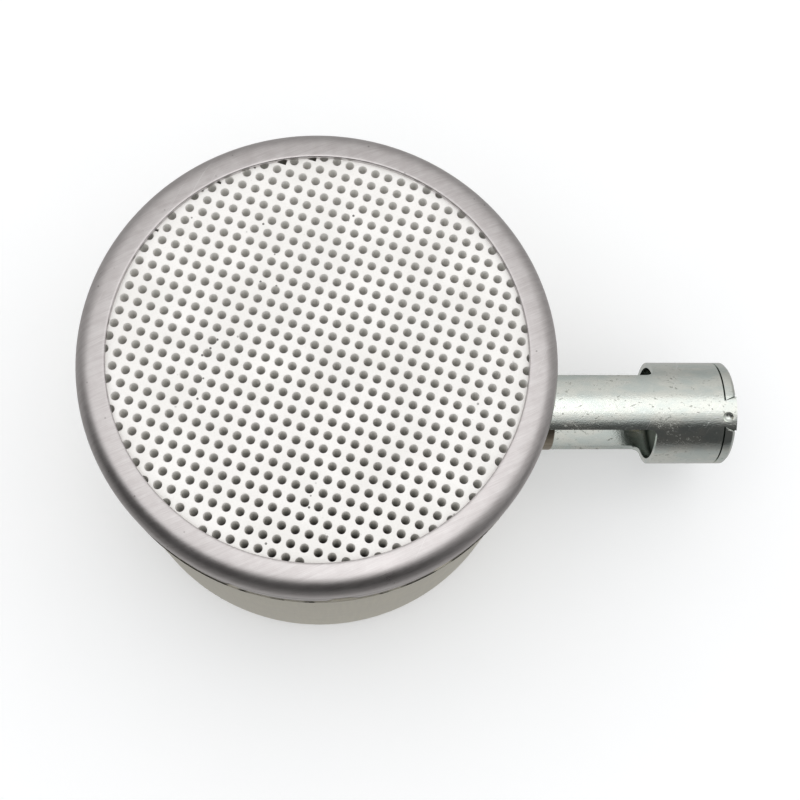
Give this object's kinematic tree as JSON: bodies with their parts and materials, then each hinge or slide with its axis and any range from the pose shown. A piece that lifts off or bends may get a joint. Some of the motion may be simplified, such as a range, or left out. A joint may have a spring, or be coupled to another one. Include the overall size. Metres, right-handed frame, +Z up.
{
  "type": "gas burner head",
  "caption": "Round infrared gas burner head: perforated ceramic plaque in a steel can with a crimped rim, fed from the side by a windowed air sleeve with a gas jet.",
  "frame": {"origin": "centre of the can's flat bottom", "axes": "+Z up along the head's axis to the ceramic burning face; +X along the air sleeve to the gas inlet"},
  "size_m": [0.0958, 0.0642, 0.048],
  "materials": {
    "stainless_can": "satin deep-drawn stainless steel",
    "stainless_rim": "brushed stainless steel with a bright shoulder",
    "burner_ceramic": "unglazed white cordierite with fine grain",
    "fibre_seal": "compressed ceramic fibre",
    "pressed_steel": "plain pressed sheet steel",
    "zinc_plate": "bright zinc plating with a faint blue tint",
    "inner_tube_steel": "drawn steel tube with a faint brown tint",
    "jet_brass": "turned brass",
    "washer_aluminium": "soft plain aluminium",
    "sintered_bronze": "grainy sintered bronze"
  },
  "bodies": {
    "root": {"burner_can": "stainless_can", "rim_ring": "stainless_rim", "ceramic_plaque": "burner_ceramic", "edge_gasket": "fibre_seal", "seat_gasket": "fibre_seal", "support_ledge": "pressed_steel", "distribution_baffle": "pressed_steel", "air_sleeve": "zinc_plate", "backing_washer": "pressed_steel", "mixing_tube": "inner_tube_steel", "inlet_plug": "zinc_plate", "gas_jet": "jet_brass", "jet_washer": "washer_aluminium", "jet_filter": "sintered_bronze"}
  },
  "joints": []
}
